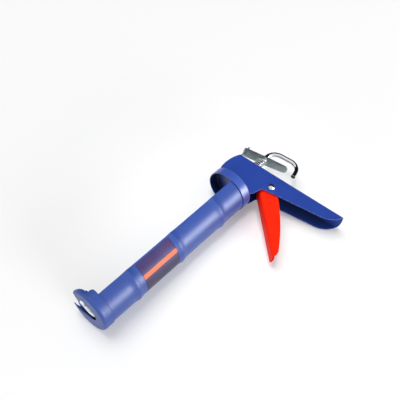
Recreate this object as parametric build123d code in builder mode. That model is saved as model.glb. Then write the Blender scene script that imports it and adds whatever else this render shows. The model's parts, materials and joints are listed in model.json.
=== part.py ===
from build123d import *
import math
import os

# Half-barrel caulking gun, lying on its right side, in millimetres.
# The gun's own axes: x runs forward along the barrel from the front cap's bend,
# y points to the gun's left and z to the open side of the trough.

# Reach of the cuts that run right through a piece
clear = 40.0

# Barrel
sheet = 1.0
seat_gap = 0.02
cradle_radius = 27.0
wall_front = -240.0
bead_places = (-53.0, -122.0, -191.0)
bead_height = 1.45
bead_half = 6.5
bead_crest_bend = 4.0
bead_foot_bend = 18.0
cup_inside = cradle_radius + seat_gap
cup_outside = cup_inside + sheet

# Front cap
cap_front = 1.15
cap_rear = -12.4
cap_bend = 3.4
cap_turn = 8.0
rim_edge = -5.4
rim_shoulder = 10.5
rim_top = 23.2
ear_height = 5.7
ear_corner = -8.4
ear_drop = 3.2
notch_bend = 1.2
slot_half = 9.9
slot_centre = -3.3
slot_turn = 155.0
left_bulge = (11.2, 2.7)
left_nose = ((2.6, 13.4), (1.7, 14.9), (2.3, 16.8))
left_lip = ((4.3, 19.6), (7.3, 21.8))
left_ear_end = (9.8, 25.8)
right_wall_length = 15.6
right_ear_end = (-14.4, 20.0)

# Rear collar
collar_front = -228.0
collar_rear = wall_front - sheet
collar_bend = 2.2

# Folded handle frame, drawn as its side outline in (x, z)
frame_sheet = 1.5
frame_half = 13.5
frame_bend = 2.2
frame_front = collar_rear
frame_top = 25.2
crown = (-255.0, 26.3)
web_top = (-275.1, 21.0)
web_tip = (-305.6, -125.4)
grip_end = (-283.3, -103.7)
grip_end_middle = (-291.4, -116.8)
belly_rear = (-257.3, -29.7)
belly_front = (-244.5, -27.0)
chin = -24.6
belly_bend = 6.0
tip_bend = 0.8
tongue_half = 11.3
tongue_rise = 1.2
tab_height = 16.0
tab_reach = 1.6
tab_gap = 0.1

# Trigger
pivot = (-268.5, -36.0)
trigger_half = 10.0
trigger_sheet = 1.2
trigger_bend = 5.0
web_head = (-255.1, -28.3)
web_foot = (-199.3, -98.3)
toe = (-210.3, -98.2)
toe_middle = (-204.6, -99.9)
back_edge_middle = (-229.7, -84.5)
back_edge_top = (-267.0, -49.0)
boss_middle = (-275.4, -42.6)
boss_top = (-277.6, -34.0)
throat_low = (-262.0, -24.5)
throat_high = (-271.0, -19.0)
nose_arm = 24.0
nose_radius = 3.0
trigger_swing = 24.0
rivet_radius = 3.0
rivet_head = 4.4
rivet_dome = 2.4
sleeve_radius = 4.5

# Push rod and its pull hook, as the corners of its bent line in (x, z)
rod_radius = 3.2
rod_fit = 0.08
rod_front = -1.8
rod_chamfer = 0.6
hook_shoulder = (-319.0, 0.0)
hook_heel = (-329.6, -37.4)
hook_end = (-309.8, -42.5)
hook_bends = (17.0, 12.0)

# Plunger
disc_radius = 22.0
disc_front = -1.3
disc_rim = -9.0
disc_sheet = 1.2
disc_bend = 2.5
well_mouth = 9.6
well_foot = 8.2
well_floor = -6.1
well_bend = 1.0
backing_radius = 13.0
backing_rise = 1.4
backing_flat = 9.5
backing_bend = 2.0
play = 0.1
washer_radius = 6.5
washer_thick = 1.0
nut_thick = 3.0
nut_flats = 10.0
stop_radius = 6.0
stop_thick = 3.0
stop_chamfer = 0.5
press_gap = 0.02

# Drive plates and their spring
drive_thick = 2.0
drive_width = 22.0
drive_height = 31.0
drive_drop = -1.5
drive_corner = 4.0
nose_gap = 0.3
drive_wire = 1.6
drive_coil = 5.6
drive_turns = 5.5

# Release plate, its strap and its spring
catch_tilt = 21.0
catch_half = 8.0
catch_low_half = 6.2
catch_thick = 2.0
catch_above = 3.4
catch_below = 57.5
catch_waist = -32.0
catch_top_bend = 3.0
catch_waist_bend = 20.0
catch_end_bend = 5.5
catch_slot = (6.6, 3.0)
catch_hole = (9.6, 7.0)
catch_hole_rise = 0.9
catch_crossing = -299.5
strap_thick = 1.5
strap_half = 3.0
strap_bottom = 22.0
strap_leg = 12.0
strap_bend = 1.6
strap_head_half = 7.0
strap_head = 2.5
strap_head_gap = 2.3
strap_rivet_drop = 6.0
strap_rivet_radius = 1.6
strap_rivet_head = 2.8
strap_rivet_rise = 1.1
catch_wire = 1.3
catch_coil = 5.1
catch_turns = 4.5
leg_bend_ratio = 1.5


def unit(first, second):
    # Direction from one (x, z) point to another.
    length = math.dist(first, second)
    return ((second[0] - first[0]) / length, (second[1] - first[1]) / length)


# The bead's crest is rounded, so its peak stands a little under the two flanks' crossing.
bead_slope = math.atan2(bead_height, bead_half)
bead_peak = cradle_radius + bead_height - bead_crest_bend * (1 / math.cos(bead_slope) - 1)

# Side outline of the handle frame
with BuildSketch() as frame_outline:
    with BuildLine():
        brow = ThreePointArc((frame_front, frame_top), crown, web_top)
        spine = Line(brow @ 1, web_tip)
        heel = ThreePointArc(spine @ 1, grip_end_middle, grip_end)
        belly = FilletPolyline(
            heel @ 1, belly_rear, belly_front, (frame_front, chin), radius=(belly_bend, belly_bend)
        )
        Line(belly @ 1, brow @ 0)
    make_face()
    fillet(vertices().sort_by_distance(web_tip)[0], radius=tip_bend)

# The gun lies on its right beads and on the right edge of the grip's tip.
tip_drop = -frame_outline.sketch.bounding_box().min.Y
lie_angle = math.atan2(tip_drop, frame_half) - math.acos(bead_peak / math.hypot(tip_drop, frame_half))
gun_left = Vector(0, math.sin(lie_angle), math.cos(lie_angle))
gun_up = Vector(0, -math.cos(lie_angle), math.sin(lie_angle))

# The bent line of the rod gives the gun's rear end.
hook_corners = ((rod_front, 0.0), hook_shoulder, hook_heel, hook_end)
with BuildLine(Plane.XZ) as hook_line:
    FilletPolyline(*hook_corners, radius=hook_bends)
gun_rear = hook_line.line.bounding_box().min.X - rod_radius

# The grip ends in a round tongue, which reaches furthest from the barrel.
web_up = unit(web_tip, web_top)
web_inward = (web_up[1], -web_up[0])
tongue_radius = (tongue_half**2 + tongue_rise**2) / (2 * tongue_rise)
tongue_centre = web_tip[1] + (tongue_radius - tongue_rise) * web_up[1] + frame_sheet * web_inward[1]
tongue_slant = math.hypot(math.sin(lie_angle), web_up[1] * math.cos(lie_angle))
handle_reach = tongue_radius * tongue_slant - tongue_centre * math.cos(lie_angle)

# The origin is on the floor under the middle of the gun.
axis_place = Vector(-(cap_front + gun_rear) / 2, -(handle_reach - cup_outside) / 2, bead_peak)
side = Plane(origin=axis_place, x_dir=(1, 0, 0), z_dir=-gun_left)
across = Plane(origin=axis_place, x_dir=gun_left, z_dir=(1, 0, 0))
over = Plane(origin=axis_place, x_dir=(1, 0, 0), z_dir=gun_up)
barrel_axis = Axis(axis_place, (1, 0, 0))
trough_turn = Axis(axis_place, (-1, 0, 0))


def place(x, z):
    # A point of the gun's middle plane.
    return side.from_local_coords(Vector(x, z, 0))


def direction(x, z):
    # A direction in the gun's middle plane.
    return Vector(x, 0, 0) + gun_up * z


def write(piece, name):
    piece.part.label = name
    export_step(piece.part, f"parts/{name}.step")


def bead_line(radius):
    # Corners of the trough's long section, with one low peak for each bead.
    corners = [(cap_front - cap_bend, radius)]
    for centre in bead_places:
        corners.append((centre + bead_half, radius))
        corners.append((centre, radius + bead_height))
        corners.append((centre - bead_half, radius))
    corners.append((wall_front + collar_bend - sheet, radius))
    return corners


os.makedirs("parts", exist_ok=True)

# Trough
bead_bends = (bead_foot_bend, bead_crest_bend, bead_foot_bend) * len(bead_places)
with BuildPart() as cradle:
    with BuildSketch(over):
        with BuildLine():
            outside = FilletPolyline(*bead_line(cradle_radius), radius=bead_bends)
            inside = FilletPolyline(*bead_line(cradle_radius - sheet), radius=bead_bends)
            Line(outside @ 0, inside @ 0)
            Line(outside @ 1, inside @ 1)
        make_face()
    revolve(axis=trough_turn, revolution_arc=180)
write(cradle, "cradle")

# Front cap, turned a little to the right: its left ear reaches over the slot, its right ear tapers off
cap_left = gun_left.rotate(Axis.X, cap_turn)
cap_side = Plane(origin=axis_place, x_dir=(1, 0, 0), z_dir=-cap_left)
with BuildPart() as front_cap:
    with BuildSketch(over):
        with BuildLine():
            outside = FilletPolyline(
                (cap_front, 0), (cap_front, cup_outside), (cap_rear, cup_outside), radius=cap_bend
            )
            inside = FilletPolyline(
                (cap_front - sheet, 0),
                (cap_front - sheet, cup_inside),
                (cap_rear, cup_inside),
                radius=cap_bend - sheet,
            )
            Line(outside @ 0, inside @ 0)
            Line(outside @ 1, inside @ 1)
        make_face()
    revolve(axis=barrel_axis)
    with BuildSketch(across.offset(cap_front + sheet)):
        with BuildLine():
            seat = CenterArc((0, slot_centre), slot_half, 0, -slot_turn)
            left_wall = TangentArc(seat @ 0, left_bulge, tangent=(0, 1))
            throat = TangentArc(left_wall @ 1, left_nose[0], tangent=left_wall % 1)
            nose = ThreePointArc(throat @ 1, *left_nose[1:])
            lip = ThreePointArc(nose @ 1, *left_lip)
            right_wall = Line(seat @ 1, seat @ 1 + (seat % 1) * right_wall_length)
            right_ear = TangentArc(right_wall @ 1, right_ear_end, tangent=right_wall % 1)
            above = Polyline(lip @ 1, left_ear_end, (left_ear_end[0], clear))
            Polyline(above @ 1, (right_ear_end[0], clear), right_ear @ 1)
        make_face()
    extrude(amount=-(cap_front + sheet - rim_edge + sheet), mode=Mode.SUBTRACT)
    with BuildSketch(cap_side):
        with BuildLine():
            notch = FilletPolyline(
                (rim_edge, rim_shoulder), (rim_edge, ear_height), (ear_corner, ear_height), radius=notch_bend
            )
            ear = TangentArc(notch @ 1, (cap_rear - play, ear_height - ear_drop), tangent=(-1, 0))
            shoulder = TangentArc(notch @ 0, (cap_front + play, rim_top), tangent=(0, 1))
            above = Polyline(shoulder @ 1, (cap_front + play, clear), (-clear, clear))
            Polyline(above @ 1, (-clear, ear_height - ear_drop), ear @ 1)
        make_face()
    extrude(amount=clear, both=True, mode=Mode.SUBTRACT)
write(front_cap, "front_cap")

# Rear collar with its rod hole and the slots for the frame's tabs
rod_hole = rod_radius + rod_fit
tab_place = frame_half - frame_sheet / 2
with BuildPart() as collar:
    with BuildSketch(over):
        with BuildLine():
            outside = FilletPolyline(
                (collar_front, cup_outside),
                (collar_rear, cup_outside),
                (collar_rear, rod_hole),
                radius=collar_bend,
            )
            inside = FilletPolyline(
                (collar_front, cup_inside),
                (wall_front, cup_inside),
                (wall_front, rod_hole),
                radius=collar_bend - sheet,
            )
            Line(outside @ 0, inside @ 0)
            Line(outside @ 1, inside @ 1)
        make_face()
    revolve(axis=barrel_axis)
    with BuildSketch(across.offset(collar_rear)):
        with GridLocations(2 * tab_place, 1, 2, 1):
            Rectangle(frame_sheet + 2 * tab_gap, tab_height + 2 * tab_gap)
    extrude(amount=sheet, mode=Mode.SUBTRACT)
write(collar, "collar")

# Handle frame: a U-channel folded along the web and trimmed to the side outline
rivet_place = (web_top[0] - strap_rivet_drop * web_up[0], web_top[1] - strap_rivet_drop * web_up[1])
rivet_plane = Plane(origin=place(*rivet_place), x_dir=gun_left, z_dir=direction(*web_inward))
web_length = math.dist(web_tip, web_top)
channel_depth = 70.0
channel_spare = 20.0
channel_foot = (web_tip[0] - channel_spare * web_up[0], web_tip[1] - channel_spare * web_up[1])
with BuildPart() as handle_frame:
    with BuildSketch(Plane(origin=place(*channel_foot), x_dir=gun_left, z_dir=direction(*web_up))):
        with BuildLine():
            inner = frame_half - frame_sheet
            outside = FilletPolyline(
                (frame_half, -channel_depth),
                (frame_half, 0),
                (-frame_half, 0),
                (-frame_half, -channel_depth),
                radius=frame_bend,
            )
            inside = FilletPolyline(
                (inner, -channel_depth),
                (inner, -frame_sheet),
                (-inner, -frame_sheet),
                (-inner, -channel_depth),
                radius=frame_bend - frame_sheet,
            )
            Line(outside @ 0, inside @ 0)
            Line(outside @ 1, inside @ 1)
        make_face()
    extrude(amount=web_length + 2 * channel_spare)
    with BuildSketch(side):
        add(frame_outline.sketch)
    extrude(amount=clear, both=True, mode=Mode.INTERSECT)
    with BuildSketch(Plane(origin=place(*web_tip), x_dir=gun_left, z_dir=direction(*web_inward))):
        with BuildLine():
            tongue = ThreePointArc((-tongue_half, 0), (0, -tongue_rise), (tongue_half, 0))
            Polyline(tongue @ 1, (tongue_half, tongue_rise), (-tongue_half, tongue_rise), tongue @ 0)
        make_face()
    extrude(amount=frame_sheet)
    with BuildSketch(across.offset(frame_front)):
        with GridLocations(2 * tab_place, 1, 2, 1):
            Rectangle(frame_sheet, tab_height)
    extrude(amount=tab_reach)
    with BuildSketch(across.offset(gun_rear)):
        Circle(rod_hole)
    extrude(amount=frame_front - gun_rear, mode=Mode.SUBTRACT)
    with BuildSketch(side):
        with Locations(pivot):
            Circle(rivet_radius + seat_gap)
    extrude(amount=clear, both=True, mode=Mode.SUBTRACT)
    with BuildSketch(rivet_plane):
        Circle(strap_rivet_radius + seat_gap)
    extrude(amount=frame_sheet, both=True, mode=Mode.SUBTRACT)
write(handle_frame, "handle_frame")

# Dome-headed pivot of the trigger
pivot_place = place(*pivot)
with BuildPart() as trigger_rivet:
    with BuildSketch(side):
        with Locations(pivot):
            Circle(rivet_radius)
    extrude(amount=frame_half, both=True)
    with BuildSketch(Plane(origin=pivot_place, x_dir=gun_left, z_dir=(1, 0, 0))):
        with BuildLine():
            flat = Line((frame_half, 0), (frame_half, rivet_head))
            dome = TangentArc((frame_half + rivet_dome, 0), flat @ 1, tangent=(0, 1))
            Line(dome @ 0, flat @ 0)
        make_face()
    revolve(axis=Axis(pivot_place, gun_left))
    mirror(about=side)
write(trigger_rivet, "trigger_rivet")

# Trigger: a U-channel folded along its front web, with a forked head above the pivot
web_rise = unit(web_foot, web_head)
lever_depth = 60.0
lever_foot = (web_foot[0] - channel_spare * web_rise[0], web_foot[1] - channel_spare * web_rise[1])
lever_length = math.dist(web_foot, web_head) + 3 * channel_spare
nose_lean = math.radians(trigger_swing / 2)
nose_x = pivot[0] - nose_arm * math.sin(nose_lean)
nose_z = pivot[1] + nose_arm * math.cos(nose_lean)
with BuildPart() as trigger:
    with BuildSketch(Plane(origin=place(*lever_foot), x_dir=gun_left, z_dir=direction(*web_rise))):
        with BuildLine():
            inner = trigger_half - trigger_sheet
            outside = FilletPolyline(
                (trigger_half, lever_depth),
                (trigger_half, 0),
                (-trigger_half, 0),
                (-trigger_half, lever_depth),
                radius=trigger_bend,
            )
            inside = FilletPolyline(
                (inner, lever_depth),
                (inner, trigger_sheet),
                (-inner, trigger_sheet),
                (-inner, lever_depth),
                radius=trigger_bend - trigger_sheet,
            )
            Line(outside @ 0, inside @ 0)
            Line(outside @ 1, inside @ 1)
        make_face()
    extrude(amount=lever_length)
    with BuildSketch(side):
        with BuildLine():
            face = Line(web_head, web_foot)
            round_toe = ThreePointArc(face @ 1, toe_middle, toe)
            back = ThreePointArc(round_toe @ 1, back_edge_middle, back_edge_top)
            boss = ThreePointArc(back @ 1, boss_middle, boss_top)
            neck = Line(boss @ 1, (nose_x - nose_radius, nose_z))
            nose = ThreePointArc(
                neck @ 1, (nose_x, nose_z + nose_radius), (nose_x + nose_radius, nose_z)
            )
            Polyline(nose @ 1, throat_high, throat_low, face @ 0)
        make_face()
    extrude(amount=clear, both=True, mode=Mode.INTERSECT)
    with BuildSketch(side):
        with Locations(pivot):
            Circle(sleeve_radius + press_gap)
    extrude(amount=clear, both=True, mode=Mode.SUBTRACT)
write(trigger, "trigger")

# Tube that turns on the rivet between the frame's cheeks
with BuildPart() as trigger_sleeve:
    with BuildSketch(side):
        with Locations(pivot):
            Circle(sleeve_radius)
            Circle(rivet_radius + rod_fit, mode=Mode.SUBTRACT)
    extrude(amount=frame_half - frame_sheet - play, both=True)
write(trigger_sleeve, "trigger_sleeve")

# Plunger disc: flat in front, with its rim turned back and a well for the nut
with BuildPart() as plunger_disc:
    with BuildSketch(over):
        with BuildLine():
            FilletPolyline(
                (disc_rim, disc_radius),
                (disc_front, disc_radius),
                (disc_front, well_mouth),
                (well_floor, well_foot),
                (well_floor, rod_hole),
                radius=(disc_bend, well_bend, well_bend),
            )
            offset(amount=disc_sheet, side=Side.RIGHT)
        make_face()
    revolve(axis=barrel_axis)
write(plunger_disc, "plunger_disc")

backing_front = well_floor - disc_sheet
with BuildPart() as plunger_backing:
    with BuildSketch(over):
        with BuildLine():
            face = FilletPolyline(
                (backing_front, rod_hole),
                (backing_front, backing_flat),
                (backing_front - backing_rise, backing_radius),
                radius=backing_bend,
            )
            rear = FilletPolyline(
                (backing_front - disc_sheet, rod_hole),
                (backing_front - disc_sheet, backing_flat),
                (backing_front - backing_rise - disc_sheet, backing_radius),
                radius=backing_bend,
            )
            Line(face @ 0, rear @ 0)
            Line(face @ 1, rear @ 1)
        make_face()
    revolve(axis=barrel_axis)
write(plunger_backing, "plunger_backing")

# Washer and nut in the well, and the ring behind the backing plate, all fast on the rod
washer_front = well_floor + play + washer_thick
with BuildPart() as plunger_washer:
    with BuildSketch(across.offset(well_floor + play)):
        Circle(washer_radius)
        Circle(rod_radius + press_gap, mode=Mode.SUBTRACT)
    extrude(amount=washer_thick)
write(plunger_washer, "plunger_washer")

with BuildPart() as plunger_nut:
    with BuildSketch(across.offset(washer_front)):
        RegularPolygon(radius=nut_flats / 2, side_count=6, major_radius=False)
        Circle(rod_radius + press_gap, mode=Mode.SUBTRACT)
    extrude(amount=nut_thick)
write(plunger_nut, "plunger_nut")

stop_front = backing_front - disc_sheet - play
with BuildPart() as rod_stop:
    with BuildSketch(across.offset(stop_front)):
        Circle(stop_radius)
        Circle(rod_radius + press_gap, mode=Mode.SUBTRACT)
    extrude(amount=-stop_thick)
    chamfer(rod_stop.edges().filter_by(GeomType.CIRCLE).group_by(SortBy.RADIUS)[-1], length=stop_chamfer)
write(rod_stop, "rod_stop")

# Push rod with its pull hook
with BuildPart() as rod:
    with BuildLine(side) as rod_line:
        FilletPolyline(*hook_corners, radius=hook_bends)
    with BuildSketch(Plane(rod_line.line ^ 0)):
        Circle(rod_radius)
    sweep()
    chamfer(rod.faces().filter_by(GeomType.PLANE).edges(), length=rod_chamfer)
write(rod, "rod")

# Two gripping plates that the trigger's head pushes forward
drive_rear = nose_x + nose_radius + nose_gap
for name, start in (("drive_plate_rear", drive_rear), ("drive_plate_front", drive_rear + drive_thick)):
    with BuildPart() as drive_plate:
        with BuildSketch(across.offset(start)):
            with Locations((0, drive_drop)):
                RectangleRounded(drive_width, drive_height, drive_corner)
            Circle(rod_hole, mode=Mode.SUBTRACT)
        extrude(amount=drive_thick)
    write(drive_plate, name)

# Release plate, hanging on its strap with the rod through its oval hole
tilt = math.radians(catch_tilt)
hinge_z = strap_bottom + strap_thick / 2
hinge_x = catch_crossing + hinge_z * math.tan(tilt)
catch_normal = (math.cos(tilt), -math.sin(tilt))
catch_hole_place = catch_hole_rise - hinge_z / math.cos(tilt)
catch_bends = (
    catch_top_bend, catch_top_bend, catch_waist_bend, catch_end_bend, catch_end_bend, catch_waist_bend
)
with BuildPart() as catch_plate:
    with BuildSketch(Plane(origin=place(hinge_x, hinge_z), x_dir=gun_left, z_dir=direction(*catch_normal))):
        with BuildLine():
            FilletPolyline(
                (catch_half, catch_above),
                (-catch_half, catch_above),
                (-catch_half, catch_waist),
                (-catch_low_half, -catch_below),
                (catch_low_half, -catch_below),
                (catch_half, catch_waist),
                radius=catch_bends,
                close=True,
            )
        make_face()
        Rectangle(*catch_slot, mode=Mode.SUBTRACT)
        with Locations((0, catch_hole_place)):
            SlotOverall(*catch_hole, rotation=90, mode=Mode.SUBTRACT)
    extrude(amount=catch_thick / 2, both=True)
write(catch_plate, "catch_plate")

# Strap: a leg riveted inside the web, bent over its top edge, with a T-head behind the plate
leg_top_x = web_top[0] + frame_sheet * web_inward[0]
leg_top_z = web_top[1] + frame_sheet * web_inward[1]
leg_foot = (leg_top_x - strap_leg * web_up[0], leg_top_z - strap_leg * web_up[1])
leg_rise = (strap_bottom - leg_top_z) / web_up[1]
strap_corner = (leg_top_x + leg_rise * web_up[0], strap_bottom)
head_front = hinge_x - strap_head_gap
strap_end = (head_front - strap_head, strap_bottom)
with BuildPart() as catch_hanger:
    with BuildSketch(side):
        with BuildLine():
            under = Polyline(leg_foot, strap_corner, strap_end)
            top_corner = (
                strap_corner[0] + strap_thick * (1 + web_up[0]) / web_up[1],
                strap_bottom + strap_thick,
            )
            leg_back = (leg_foot[0] + strap_thick * web_inward[0], leg_foot[1] + strap_thick * web_inward[1])
            Polyline(under @ 1, (strap_end[0], strap_bottom + strap_thick), top_corner, leg_back, under @ 0)
        make_face()
        fillet(vertices().sort_by_distance(top_corner)[0], radius=strap_bend)
    extrude(amount=strap_head_half, both=True)
    with BuildSketch(over):
        with Locations((head_front - strap_head / 2, 0)):
            Rectangle(strap_head, 2 * strap_head_half)
        with Locations((head_front, 0)):
            Rectangle(clear, 2 * strap_half, align=(Align.MIN, Align.CENTER))
    extrude(amount=clear, mode=Mode.INTERSECT)
    with BuildSketch(rivet_plane):
        Circle(strap_rivet_radius + seat_gap)
    extrude(amount=clear, both=True, mode=Mode.SUBTRACT)
write(catch_hanger, "catch_hanger")

# Rivet through the web and the strap's leg, with a dome outside and a flat head inside
with BuildPart() as strap_rivet:
    with BuildSketch(Plane(origin=rivet_plane.origin, x_dir=rivet_plane.z_dir, z_dir=gun_left)):
        with BuildLine():
            inside_face = frame_sheet + strap_thick
            shank = Polyline(
                (-strap_rivet_rise, 0),
                (inside_face + strap_rivet_rise / 2, 0),
                (inside_face + strap_rivet_rise / 2, strap_rivet_head),
                (inside_face, strap_rivet_head),
                (inside_face, strap_rivet_radius),
                (0, strap_rivet_radius),
                (0, strap_rivet_head),
            )
            TangentArc(shank @ 0, shank @ 1, tangent=(0, 1))
        make_face()
    revolve(axis=Axis(rivet_plane.origin, rivet_plane.z_dir))
write(strap_rivet, "strap_rivet")


def arc_middle(start, leaving, end):
    # The middle of the arc that leaves start along leaving and ends at end.
    chord = end - start
    along = chord.normalized()
    bulge = leaving - along * leaving.dot(along)
    half_turn = math.radians(leaving.get_angle(along)) / 2
    return (start + end) / 2 + bulge.normalized() * (chord.length / 2 * math.tan(half_turn))


def bend(start, leaving, end):
    ThreePointArc(tuple(start), tuple(arc_middle(start, leaving, end)), tuple(end))


def biarc(start, leaving, end, arriving):
    # Two arcs that run smoothly from start to end.
    chord = end - start
    both = leaving + arriving
    spread = 2 * (1 - leaving.dot(arriving))
    drive = chord.dot(both)
    reach = (math.sqrt(drive * drive + spread * chord.dot(chord)) - drive) / spread
    first_corner = start + leaving * reach
    second_corner = end - arriving * reach
    middle = (first_corner + second_corner) / 2
    bend(start, leaving, middle)
    bend(middle, (second_corner - first_corner).normalized(), end)


def leg(coil_way, face_way, wire):
    # From the coil's end to the wire's tip, which stands square on a face for one wire width.
    turn = math.radians(coil_way.get_angle(face_way))
    reach = leg_bend_ratio * wire * math.tan(turn / 2)
    return (coil_way + face_way) * reach, face_way * wire


def coil_ends(front_face, rear_face, radius, turns, wire):
    # Lengthwise places of the coil's two ends, so that each tip just meets its face.
    # A face is a point and the direction that looks into the coil, as (across, up, forward).
    front, rear = front_face[0].Z, rear_face[0].Z
    turn = 2 * math.pi * turns
    for _ in range(6):
        rate = (rear - front) / turn
        starting = Vector(0, radius, rate).normalized()
        stopping = Vector(-radius * math.sin(turn), radius * math.cos(turn), rate).normalized()
        bend_out, stand = leg(starting, front_face[1], wire)
        tip = Vector(radius, 0, 0) - bend_out - stand
        front = -(tip - front_face[0]).dot(front_face[1]) / front_face[1].Z
        bend_out, stand = leg(stopping, -rear_face[1], wire)
        tip = Vector(radius * math.cos(turn), radius * math.sin(turn), 0) + bend_out + stand
        rear = -(tip - rear_face[0]).dot(rear_face[1]) / rear_face[1].Z
    return front, rear


def wind(front_face, rear_face, radius, turns, wire):
    # One unbroken wire: a leg, quarter turns as biarcs, and a leg.
    front, rear = coil_ends(front_face, rear_face, radius, turns, wire)
    quarters = round(4 * turns)
    points = []
    ways = []
    for quarter in range(quarters + 1):
        angle = quarter * math.pi / 2
        ahead = front + (rear - front) * quarter / quarters
        points.append(Vector(radius * math.cos(angle), radius * math.sin(angle), ahead))
        rate = (rear - front) / (2 * math.pi * turns)
        ways.append(Vector(-radius * math.sin(angle), radius * math.cos(angle), rate).normalized())
    bend_out, stand = leg(ways[0], front_face[1], wire)
    knee = points[0] - bend_out
    Line(tuple(knee - stand), tuple(knee))
    bend(knee, front_face[1], points[0])
    for quarter in range(quarters):
        biarc(points[quarter], ways[quarter], points[quarter + 1], ways[quarter + 1])
    bend_out, stand = leg(ways[-1], -rear_face[1], wire)
    knee = points[-1] + bend_out
    bend(points[-1], ways[-1], knee)
    Line(tuple(knee), tuple(knee + stand))


def least_gap(line, turns, wire):
    # Smallest space between stretches of the wire that are at least half a turn apart.
    half_turn = 20
    steps = round(2 * half_turn * turns)
    points = [line @ (step / steps) for step in range(steps + 1)]
    gaps = []
    for first in range(steps + 1):
        for second in range(first + half_turn, steps + 1):
            gaps.append((points[first] - points[second]).length)
    return min(gaps) - wire


drive_faces = (
    (Vector(0, 0, collar_rear), Vector(0, 0, -1)),
    (Vector(0, 0, drive_rear + 2 * drive_thick), Vector(0, 0, 1)),
)
catch_face = catch_crossing + catch_thick / 2 / math.cos(tilt)
catch_faces = (
    (Vector(0, web_top[1], web_top[0]), Vector(0, -web_inward[1], -web_inward[0])),
    (Vector(0, 0, catch_face), Vector(0, catch_normal[1], catch_normal[0])),
)
for name, faces, radius, turns, wire in (
    ("drive_spring", drive_faces, drive_coil, drive_turns, drive_wire),
    ("catch_spring", catch_faces, catch_coil, catch_turns, catch_wire),
):
    with BuildPart() as spring:
        with BuildLine(across) as spring_line:
            wind(*faces, radius, turns, wire)
        with BuildSketch(Plane(spring_line.line ^ 0)):
            Circle(wire / 2)
        sweep()
    print(name, "least gap", round(least_gap(spring_line.line, turns, wire), 2), "mm")
    write(spring, name)
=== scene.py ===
import json
import math

import bpy
from mathutils import Matrix, Vector


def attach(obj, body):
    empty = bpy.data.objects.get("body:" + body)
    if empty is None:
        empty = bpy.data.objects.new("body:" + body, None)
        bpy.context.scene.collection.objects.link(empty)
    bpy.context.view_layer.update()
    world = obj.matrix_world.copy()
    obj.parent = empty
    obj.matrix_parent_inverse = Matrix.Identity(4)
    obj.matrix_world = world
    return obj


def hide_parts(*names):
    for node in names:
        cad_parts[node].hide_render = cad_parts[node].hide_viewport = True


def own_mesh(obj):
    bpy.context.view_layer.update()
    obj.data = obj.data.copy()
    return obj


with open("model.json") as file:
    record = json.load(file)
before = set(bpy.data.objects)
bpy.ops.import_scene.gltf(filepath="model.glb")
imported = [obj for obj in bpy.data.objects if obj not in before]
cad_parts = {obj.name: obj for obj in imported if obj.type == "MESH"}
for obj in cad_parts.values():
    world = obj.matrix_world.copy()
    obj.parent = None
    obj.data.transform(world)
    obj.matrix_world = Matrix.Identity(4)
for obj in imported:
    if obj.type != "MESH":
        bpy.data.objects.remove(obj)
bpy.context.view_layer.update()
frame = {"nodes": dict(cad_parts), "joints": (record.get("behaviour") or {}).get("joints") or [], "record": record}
nodes = frame["nodes"]

# The gun's own axes: x forward along the barrel, y to its left, z to the open side of the trough.
# Places on the gun are in millimetres from the barrel's axis at the front cap.
MM = 0.001
joints = {joint["name"]: joint for joint in frame["joints"]}
gun_forward = Vector((1, 0, 0))
gun_left = Vector(joints["trigger_squeeze"]["axis"])
gun_up = gun_forward.cross(gun_left)
gun_centre = Vector(joints["rod_turn"]["pos_m"])


def way(x, y, z):
    """A direction in the gun's axes, turned to the row frame."""
    return gun_forward * x + gun_left * y + gun_up * z


def at(x, y, z):
    """A place on the gun in millimetres, in the row frame in metres."""
    return gun_centre + way(x, y, z) * MM


def tone(red, green, blue):
    """A colour given as 0 to 255 sRGB display values, in linear light."""
    values = []
    for level in (red, green, blue):
        share = level / 255
        values.append(share / 12.92 if share <= 0.04045 else ((share + 0.055) / 1.055) ** 2.4)
    return (*values, 1.0)


# Camera
camera_place = at(204.3, 732.8, -181.1)
camera_aim = at(-194.0, 0.0, 13.8)
camera_top = way(-0.57205, 0.48657, 0.66031)
lens = 63.24

look = (camera_aim - camera_place).normalized()
picture_right = look.cross(camera_top).normalized()
picture_up = picture_right.cross(look)
turn = Matrix((picture_right, picture_up, -look)).transposed().to_4x4()
camera = bpy.data.objects.new("camera", bpy.data.cameras.new("camera"))
camera.matrix_world = Matrix.Translation(camera_place) @ turn
camera.data.lens = lens
bpy.context.collection.objects.link(camera)
bpy.context.scene.camera = camera


def map_range(tree, start, end, low, high):
    """A node that stretches the range from start to end over low to high, and holds it there."""
    node = tree.nodes.new("ShaderNodeMapRange")
    for name, number in (("From Min", start), ("From Max", end), ("To Min", low), ("To Max", high)):
        node.inputs[name].default_value = number
    return node


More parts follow.
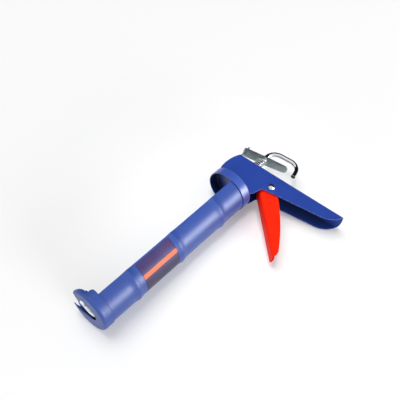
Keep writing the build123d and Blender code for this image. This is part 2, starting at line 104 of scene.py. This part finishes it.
class Recipe:
    """A material's node tree, built up from its colour to its surface."""

    def __init__(self, name):
        self.material = bpy.data.materials.new(name)
        self.material.use_nodes = True
        self.tree = self.material.node_tree
        self.shader = self.tree.nodes["Principled BSDF"]
        self.where = self.add("ShaderNodeTexCoord").outputs["Object"]

    def add(self, kind, **settings):
        node = self.tree.nodes.new(kind)
        for name, value in settings.items():
            setattr(node, name, value)
        return node

    def join(self, source, target):
        self.tree.links.new(source, target)

    def set(self, name, value):
        self.shader.inputs[name].default_value = value

    def noise(self, scale, detail=2.0, stretch=(1, 1, 1)):
        """A noise of that many grains in a metre."""
        place = self.add("ShaderNodeMapping")
        place.inputs["Scale"].default_value = stretch
        self.join(self.where, place.inputs["Vector"])
        grain = self.add("ShaderNodeTexNoise")
        grain.inputs["Scale"].default_value = scale
        grain.inputs["Detail"].default_value = detail
        self.join(place.outputs["Vector"], grain.inputs["Vector"])
        return grain.outputs["Fac"]

    def spread(self, value, low, high, start=0.3, end=0.7):
        """The value's range from start to end stretched over low to high."""
        ranged = map_range(self.tree, start, end, low, high)
        self.join(value, ranged.inputs["Value"])
        return ranged.outputs["Result"]

    def blend(self, share, first, second):
        """Two colours mixed; each is a colour or another node's output."""
        mix = self.add("ShaderNodeMix", data_type="RGBA")
        self.join(share, mix.inputs["Factor"])
        for name, colour in (("A", first), ("B", second)):
            socket = next(i for i in mix.inputs if i.name == name and i.type == "RGBA")
            if isinstance(colour, tuple):
                socket.default_value = colour
            else:
                self.join(colour, socket)
        return next(o for o in mix.outputs if o.type == "RGBA")

    def combine(self, operation, first, second):
        """Two values put together by the operation of that name."""
        result = self.add("ShaderNodeMath", operation=operation)
        self.join(first, result.inputs[0])
        self.join(second, result.inputs[1])
        return result.outputs["Value"]

    def times(self, first, second):
        return self.combine("MULTIPLY", first, second)

    def larger(self, first, second):
        return self.combine("MAXIMUM", first, second)

    def colour(self, source):
        self.join(source, self.shader.inputs["Base Color"])

    def rough(self, source):
        self.join(source, self.shader.inputs["Roughness"])

    def rounded(self, reach):
        """The surface's direction with its sharp edges rounded."""
        eased = self.add("ShaderNodeBevel", samples=8)
        eased.inputs["Radius"].default_value = reach
        return eased.outputs["Normal"]

    def edges(self, eased, start, end):
        """1 on the sharp edges of the solid, 0 on its open faces."""
        plain = self.add("ShaderNodeNewGeometry")
        agree = self.add("ShaderNodeVectorMath", operation="DOT_PRODUCT")
        self.join(eased, agree.inputs[0])
        self.join(plain.outputs["Normal"], agree.inputs[1])
        return self.spread(agree.outputs["Value"], 0, 1, start, end)

    def recess(self, reach, start, end):
        """1 deep in the hollows of a solid, 0 on its open faces: where shade is painted."""
        hollow = self.add("ShaderNodeAmbientOcclusion", samples=8, only_local=True)
        hollow.inputs["Distance"].default_value = reach
        return self.spread(hollow.outputs["AO"], 1, 0, start, end)

    def near(self, place, inner, outer):
        """1 within the inner distance of a place, 0 beyond the outer one."""
        away = self.add("ShaderNodeVectorMath", operation="DISTANCE")
        self.join(self.where, away.inputs[0])
        away.inputs[1].default_value = place
        return self.spread(away.outputs["Value"], 1, 0, inner, outer)

    def ring(self, start, end, share):
        """A share on the barrel's outer skin between two places along it, in millimetres, 0 elsewhere."""
        inner = 26.5
        soft = 0.2
        place = self.add("ShaderNodeVectorMath", operation="SUBTRACT")
        self.join(self.where, place.inputs[0])
        place.inputs[1].default_value = gun_centre
        across = self.add("ShaderNodeVectorMath", operation="MULTIPLY")
        self.join(place.outputs["Vector"], across.inputs[0])
        across.inputs[1].default_value = (0, 1, 1)
        out = self.add("ShaderNodeVectorMath", operation="LENGTH")
        self.join(across.outputs["Vector"], out.inputs[0])
        along = self.add("ShaderNodeSeparateXYZ")
        self.join(place.outputs["Vector"], along.inputs["Vector"])
        skin = self.spread(out.outputs["Value"], 0, share, (inner - soft) * MM, (inner + soft) * MM)
        begun = self.spread(along.outputs["X"], 0, 1, (start - soft) * MM, (start + soft) * MM)
        left = self.spread(along.outputs["X"], 1, 0, (end - soft) * MM, (end + soft) * MM)
        return self.times(skin, self.times(begun, left))

    def bump(self, height, strength, depth, eased=None):
        raised = self.add("ShaderNodeBump")
        if eased:
            self.join(eased, raised.inputs["Normal"])
        raised.inputs["Strength"].default_value = strength
        raised.inputs["Distance"].default_value = depth
        self.join(height, raised.inputs["Height"])
        self.join(raised.outputs["Normal"], self.shader.inputs["Normal"])


# Powder coat: its noises in grains to the metre, and where its painted shade in hollows, its edges and chips begin
# and end
shade_grain = 28
sheen_grain = 60
sheen_ends = (0.1, 0.9)
hollow_reach = 40 * MM
hollow_fade = 0.45
edge_reach = 0.6 * MM
edge_ends = (0.97, 0.84)
chip_grain = 420
chip_ends = (0.35, 0.6)
peel_grain = 700
peel_strength = 0.4
peel_depth = 0.1 * MM


def paint(name, light, deep, worn, painted_shade, gloss, sheen, wear=0.4, shut=0.25, shadow_seams=()):
    """Powder coat with a fine orange peel, uneven in depth and sheen, worn paler on sharp edges.

    Shade is painted into its hollows, and painted shadow darkens and dulls the joins beside a fitted piece.
    A hollow is painted dark all over where less than its shut share is open. Each join is (start, end, share
    of painted shadow) along the barrel.
    """
    coat = Recipe(name)
    coat.set("Specular IOR Level", gloss)
    body = coat.blend(coat.spread(coat.noise(shade_grain), 0, 1), deep, light)
    # Painted shade: the coat turns to its darkest tone in the hollows of its own piece.
    body = coat.blend(coat.recess(hollow_reach, shut, shut + hollow_fade), body, painted_shade)
    roughness = coat.spread(coat.noise(sheen_grain, detail=0.0), *sheen, *sheen_ends)
    # Painted shadow: each join is a dark ring on the coat, made dull as well.
    for place in shadow_seams:
        seam_shadow = coat.ring(*place)
        body = coat.blend(seam_shadow, body, painted_shade)
        roughness = coat.larger(roughness, seam_shadow)
    eased = coat.rounded(edge_reach)
    chips = coat.spread(coat.noise(chip_grain, detail=3.0), 0, wear, *chip_ends)
    coat.colour(coat.blend(coat.times(coat.edges(eased, *edge_ends), chips), body, worn))
    coat.rough(roughness)
    coat.bump(coat.noise(peel_grain), peel_strength, peel_depth, eased)
    return coat.material


# Metals: tarnish in grains to the metre, the depth of the marks, the ways that they run, a sheared end
tarnish_grain = 120
mark_strength = 0.1
mark_depth = 0.05 * MM
even = (1, 1, 1)
drawn = (0.05, 1, 1)
rolled = (1, 0.08, 1)
sheared_reach = (2.9 * MM, 3.1 * MM)
sheared_tone = tone(52, 54, 57)


def metal(name, light, dull, sheen, grain, stretch=even, sheared_end=None):
    """Bare or plated metal with fine even, drawn or rolled marks, dark on a sheared end."""
    plate = Recipe(name)
    plate.set("Metallic", 1.0)
    marks = plate.noise(grain, detail=4.0, stretch=stretch)
    body = plate.blend(plate.spread(plate.noise(tarnish_grain, detail=3.0), 0, 1), dull, light)
    if sheared_end:
        body = plate.blend(plate.near(sheared_end, *sheared_reach), body, sheared_tone)
    plate.colour(body)
    plate.rough(plate.spread(marks, *sheen))
    plate.bump(marks, mark_strength, mark_depth)
    return plate.material


# Paint colours: the coat where it is light and deep, its worn edges, and the shade painted into its hollows and
# joins
blue = (tone(47, 76, 153), tone(43, 72, 148), tone(130, 147, 198), tone(30, 48, 100))
deep_blue = (tone(39, 65, 147), tone(35, 61, 142), tone(158, 174, 222), tone(25, 35, 66))
# Painted light: the collar's coat is a lighter copy of the blue, standing in for the stronger light on the collar;
# its last tone is painted shade.
lit_blue_copy = (tone(50, 81, 168), tone(46, 77, 163), tone(130, 147, 198), tone(15, 22, 32))
red = (tone(250, 38, 10), tone(246, 33, 8), tone(250, 130, 110), tone(150, 14, 6))

# Metal colours: bright and tarnished
chrome = (tone(226, 228, 230), tone(214, 216, 220))
steel = (tone(214, 216, 216), tone(200, 202, 204))
zinc = (tone(165, 178, 178), tone(138, 153, 153))
bright_zinc = (tone(240, 243, 243), tone(230, 234, 235))
hardened = (tone(140, 142, 146), tone(112, 114, 118))
pale_wire = (tone(238, 240, 242), tone(222, 225, 228))

# Painted shadow in the joins behind the cap and before the collar, painted shade on the collar's rear edge, and
# the hook's end
cap_seam_shadow = (-13.5, -12.4, 0.6)
collar_seam_shadow = (-228.0, -226.7, 1.0)
collar_back_shade = (-241.5, -239.4, 0.9)
hook_end = at(-309.8, 0, -42.5)

finishes = {
    "blue_paint": paint("blue_paint", *blue, gloss=0.5, sheen=(0.36, 0.42), shadow_seams=(cap_seam_shadow, collar_seam_shadow)),
    "red_paint": paint("red_paint", *red, gloss=0.08, sheen=(0.42, 0.5)),
    "chrome_rod": metal(
        "chrome_rod", *chrome, sheen=(0.05, 0.12), grain=900, stretch=drawn, sheared_end=hook_end
    ),
    "bright_steel": metal("bright_steel", *steel, sheen=(0.15, 0.26), grain=700),
    "zinc_plate": metal("zinc_plate", *zinc, sheen=(0.3, 0.44), grain=500),
    "hard_steel": metal("hard_steel", *hardened, sheen=(0.28, 0.42), grain=700, stretch=rolled),
    "spring_wire": metal("spring_wire", *pale_wire, sheen=(0.18, 0.26), grain=900),
}
own_finishes = {
    "handle_frame": paint("frame_paint", *deep_blue, gloss=0.15, sheen=(0.32, 0.4), wear=1.0),
    # The collar: the lighter copy of the blue coat is painted light, with painted shade in its hollows and on its
    # rear edge.
    "collar": paint(
        "lit_collar_paint", *lit_blue_copy, gloss=0.8, sheen=(0.3, 0.36), shut=0.45, shadow_seams=(collar_back_shade,)
    ),
    "plunger_disc": metal("bright_zinc", *bright_zinc, sheen=(0.1, 0.16), grain=500),
}
for subpart in frame["record"]["subparts"]:
    node = subpart["node"]
    materials = nodes[node].data.materials
    materials.clear()
    materials.append(own_finishes.get(node, finishes[subpart["material_slot"]]))


def piece(name, vertices, faces, material, body):
    """A smooth mesh of the scene's own, carried by one of the bodies."""
    mesh = bpy.data.meshes.new(name)
    mesh.from_pydata(vertices, [], faces)
    mesh.materials.append(material)
    mesh.shade_smooth()
    made = bpy.data.objects.new(name, mesh)
    bpy.context.collection.objects.link(made)
    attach(made, body)
    return made


def smooth_step(value):
    """The value held between 0 and 1, with an easy start and end."""
    share = min(max(value, 0), 1)
    return share * share * (3 - 2 * share)


def spring(name, node, front, rear, coil, wire, turns):
    """A compression spring with a closed turn at each end, in millimetres.

    Its ends are (place, slope) along the rod, coil is its middle radius and wire is its wire's thickness.
    """
    steps_a_turn = 36
    sides = 12
    closed = 0.75
    opening = 2
    total = turns + 2
    steps = round(total * steps_a_turn)
    pitch = []
    for step in range(steps):
        turn = total * (step + 0.5) / steps
        pitch.append(smooth_step((turn - closed) * opening) * smooth_step((total - turn - closed) * opening))
    line = []
    for step in range(steps + 1):
        turn = total * step / steps
        y = coil * math.cos(math.tau * turn)
        z = coil * math.sin(math.tau * turn)
        start = front[0] + front[1] * z
        stretch = start - rear[0] - rear[1] * z - wire * (total + 1)
        ahead = start - wire * (turn + 0.5) - stretch * sum(pitch[:step]) / sum(pitch)
        line.append(at(ahead, y, z))
    vertices = []
    faces = []
    for step, point in enumerate(line):
        along = (line[min(step + 1, steps)] - line[max(step - 1, 0)]).normalized()
        out = point - at(0, 0, 0)
        out = (out - gun_forward * out.dot(gun_forward)).normalized()
        across = along.cross(out).normalized()
        for side in range(sides):
            angle = math.tau * side / sides
            vertices.append(point + (out * math.cos(angle) + across * math.sin(angle)) * wire / 2 * MM)
        if step:
            low = (step - 1) * sides
            for side in range(sides):
                after = (side + 1) % sides
                faces.append((low + side, low + after, low + sides + after, low + sides + side))
    faces.append(tuple(reversed(range(sides))))
    faces.append(tuple(range(steps * sides, (steps + 1) * sides)))
    wound = piece(name, vertices, faces, finishes["spring_wire"], "frame")
    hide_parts(node)
    return wound


# The springs, between the collar and the drive plates, and between the handle and the release plate.
drive_front = -241.0
drive_rear = -266.19
drive_ends = ((drive_front, 0), (drive_rear, 0))
drive_coil = spring("drive_coil", "drive_spring", *drive_ends, coil=5.6, wire=1.6, turns=4.5)
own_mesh(drive_coil)
catch_front = (-279.5, 0.208)
catch_rear = (-298.43, 0.384)
catch_coil = spring("catch_coil", "catch_spring", catch_front, catch_rear, coil=5.1, wire=1.3, turns=5.0)
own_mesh(catch_coil)


def sticker_film():
    """Printed film, dusky below and violet above, with a painted sheen of pale blotches and one straight band.

    Heights on it are shares of its depth from its bottom edge.
    """
    dusk = tone(52, 52, 68)
    violet = tone(56, 47, 96)
    violet_ends = (0.2, 0.75)
    painted_sheen = tone(92, 72, 122)
    painted_sheen_ends = (0.35, 0.6)
    painted_sheen_grain = 30
    painted_sheen_share = 0.55
    orange = tone(224, 102, 52)
    band_bottom = 0.6
    band_top = 0.708
    band_soft = 0.004
    gloss = 0.3
    sheen = (0.4, 0.5)
    film_peel = 0.08
    film_depth = 0.05 * MM

    film = Recipe("sticker_film")
    flat = film.add("ShaderNodeUVMap", uv_map="print")
    parts = film.add("ShaderNodeSeparateXYZ")
    film.join(flat.outputs["UV"], parts.inputs["Vector"])
    up = parts.outputs["Y"]
    body = film.blend(film.spread(up, 0, 1, *violet_ends), dusk, violet)
    # Painted sheen: pale violet blotches over the upper part of the film.
    sheen_blotches = film.spread(film.noise(painted_sheen_grain), 0, painted_sheen_share)
    body = film.blend(film.times(film.spread(up, 0, 1, *painted_sheen_ends), sheen_blotches), body, painted_sheen)
    above = film.spread(up, 0, 1, band_bottom - band_soft, band_bottom + band_soft)
    below = film.spread(up, 1, 0, band_top - band_soft, band_top + band_soft)
    film.colour(film.blend(film.times(above, below), body, orange))
    film.set("Specular IOR Level", gloss)
    film.rough(film.spread(film.noise(sheen_grain, detail=0.0), *sheen, *sheen_ends))
    film.bump(film.noise(peel_grain), film_peel, film_depth)
    return film.material


def sticker():
    """The sticker on the trough's left and back, between the first two beads, in millimetres."""
    front, rear = -64.0, -116.0
    top, bottom = math.radians(-5), math.radians(-115)
    corner = 1.4
    skin = 27.0
    face_lift, back_lift = 0.11, 0.03
    bead_foot = -113.5
    bead_curve = 36.0
    rows, columns = 48, 40
    gathered = 0.5

    depth = (top - bottom) * skin
    vertices = []
    print_places = []
    for lift in (face_lift, back_lift):
        for row in range(rows + 1):
            down = depth * smooth_step(row / rows) * gathered + depth * row / rows * (1 - gathered)
            inset = max(corner - min(down, depth - down), 0)
            trim = corner - math.sqrt(corner * corner - inset * inset)
            angle = top - down / skin
            for column in range(columns + 1):
                x = front - trim + (rear - front + 2 * trim) * column / columns
                radius = skin + lift + max(bead_foot - x, 0) ** 2 / bead_curve
                vertices.append(at(x, radius * math.cos(angle), radius * math.sin(angle)))
                print_places.append(((x - rear) / (front - rear), 1 - down / depth))
    wide = columns + 1
    layer = wide * (rows + 1)
    faces = []
    for row in range(rows):
        for column in range(columns):
            first = row * wide + column
            faces.append((first, first + 1, first + wide + 1, first + wide))
            faces.append((layer + first, layer + first + wide, layer + first + wide + 1, layer + first + 1))
    rim = list(range(wide))
    rim += [row * wide + columns for row in range(1, rows + 1)]
    rim += [rows * wide + column for column in range(columns - 1, -1, -1)]
    rim += [row * wide for row in range(rows - 1, 0, -1)]
    for place, first in enumerate(rim):
        after = rim[(place + 1) % len(rim)]
        faces.append((first, layer + first, layer + after, after))
    made = piece("sticker", vertices, faces, sticker_film(), "frame")
    layout = made.data.uv_layers.new(name="print")
    for loop in made.data.loops:
        layout.data[loop.index].uv = print_places[loop.vertex_index]


sticker()


def flat_sheet(name, width, height):
    """A rectangle about its own middle."""
    mesh = bpy.data.meshes.new(name)
    corners = [(-width / 2, -height / 2, 0), (width / 2, -height / 2, 0)]
    corners += [(width / 2, height / 2, 0), (-width / 2, height / 2, 0)]
    mesh.from_pydata(corners, [], [(0, 1, 2, 3)])
    return mesh


def seen_directly(tree):
    """1 for rays from the camera or a mirror-like surface, 0 for those that gather light."""
    path = tree.nodes.new("ShaderNodeLightPath")
    total = path.outputs["Is Camera Ray"]
    for name in ("Is Glossy Ray", "Is Transmission Ray"):
        largest = tree.nodes.new("ShaderNodeMath")
        largest.operation = "MAXIMUM"
        tree.links.new(total, largest.inputs[0])
        tree.links.new(path.outputs[name], largest.inputs[1])
        total = largest.outputs["Value"]
    return total


# The floor is a little brighter where it is seen directly.
white = (1, 1, 1, 1)
floor_size = 6.0
floor_colour = (0.75, 0.75, 0.75, 1.0)
floor_roughness = 0.9
floor_lift = 0.18
floor_mesh = flat_sheet("floor", floor_size, floor_size)
floor = bpy.data.objects.new("floor", floor_mesh)
bpy.context.collection.objects.link(floor)
ground = Recipe("floor")
ground.set("Base Color", floor_colour)
ground.set("Roughness", floor_roughness)
ground.set("Emission Color", white)
lifted = ground.spread(seen_directly(ground.tree), 0, floor_lift, start=0, end=1)
ground.join(lifted, ground.shader.inputs["Emission Strength"])
floor_mesh.materials.append(ground.material)

# The surroundings give more light from the camera's side than from the picture's top. Where they are seen
# directly, they are an even white.
sky_light = (0.06, 0.6)
sky_bright_side = (0.62, 0.25, 0.74)
sky_seen = 0.97
world = bpy.data.worlds.new("surroundings")
world.use_nodes = True
bpy.context.scene.world = world
sky = world.node_tree
background = sky.nodes["Background"]
background.inputs["Color"].default_value = white
heading = sky.nodes.new("ShaderNodeTexCoord")
side = sky.nodes.new("ShaderNodeVectorMath")
side.operation = "DOT_PRODUCT"
side.inputs[1].default_value = sky_bright_side
shade = map_range(sky, -1, 1, *sky_light)
strength = map_range(sky, 0, 1, 0, sky_seen)
sky.links.new(heading.outputs["Generated"], side.inputs[0])
sky.links.new(side.outputs["Value"], shade.inputs["Value"])
sky.links.new(shade.outputs["Result"], strength.inputs["To Min"])
sky.links.new(seen_directly(sky), strength.inputs["Value"])
sky.links.new(strength.outputs["Result"], background.inputs["Strength"])


def set_down(thing, place, aim):
    """Put a lamp or card in the scene at a place, turned to its aim, both in metres."""
    thing.location = place
    thing.rotation_euler = (Vector(aim) - Vector(place)).to_track_quat("-Z", "Y").to_euler()
    bpy.context.collection.objects.link(thing)


def lamp(name, kind, power, place, aim):
    made = bpy.data.objects.new(name, bpy.data.lights.new(name, kind))
    made.data.energy = power
    set_down(made, place, aim)
    return made


def softbox(name, power, place, aim, width, height):
    box = lamp(name, "AREA", power, place, aim)
    box.data.shape = "RECTANGLE"
    box.data.size = width
    box.data.size_y = height
    return box


# Lamps: a wide one overhead, one from the right, one that shines only on mirror-like surfaces, and a spot
# on the trough's rear end
overhead = lamp("overhead", "SUN", power=1.65, place=(0, 0, 0), aim=(0.0, 0.45, -1.1))
overhead.data.angle = math.radians(40)
overhead.visible_glossy = False
right = softbox("right", power=52, place=(0.3, 2.9, 0.78), aim=(0, 0, 0), width=1.5, height=0.9)
right.visible_glossy = False
streak = softbox("streak", power=100, place=(-1.25, 2.6, 0.65), aim=(0, 0, 0.03), width=1.6, height=1.5)
streak.visible_diffuse = False
rear = lamp("rear", "SPOT", power=25, place=(-0.05, -0.1, 0.8), aim=at(-215, 20, 0))
rear.data.spot_size = math.radians(15)
rear.data.spot_blend = 1.0
rear.data.shadow_soft_size = 0.15
rear.visible_glossy = False


def dark_card(name, place, aim, width, height):
    """A flag that only mirror-like surfaces see: the unlit end of the room."""
    cloth_grain = 3
    cloth_deep = (0.004, 0.004, 0.005, 1.0)
    cloth_light = (0.012, 0.012, 0.014, 1.0)
    card = flat_sheet(name, width, height)
    cloth = Recipe(name)
    cloth.set("Specular IOR Level", 0.0)
    cloth.colour(cloth.blend(cloth.noise(cloth_grain), cloth_deep, cloth_light))
    card.materials.append(cloth.material)
    flag = bpy.data.objects.new(name, card)
    flag.visible_camera = False
    flag.visible_diffuse = False
    flag.visible_shadow = False
    flag.visible_transmission = False
    set_down(flag, place, aim)


mechanism = (-0.15, 0, 0.03)
dark_card("flag_top", place=(-1.0, -0.8, 1.1), aim=(0, 0, 0), width=2.6, height=1.6)
dark_card("flag_back", place=(-0.31, -0.32, 0.3), aim=(0, 0, 0.3), width=1.6, height=0.6)
dark_card("flag_left", place=(-0.68, 0.1, 0.31), aim=mechanism, width=0.9, height=0.7)
dark_card("flag_right", place=(-0.38, 0.2, 0.1), aim=mechanism, width=0.2, height=0.16)

bpy.context.scene.view_settings.view_transform = "Standard"
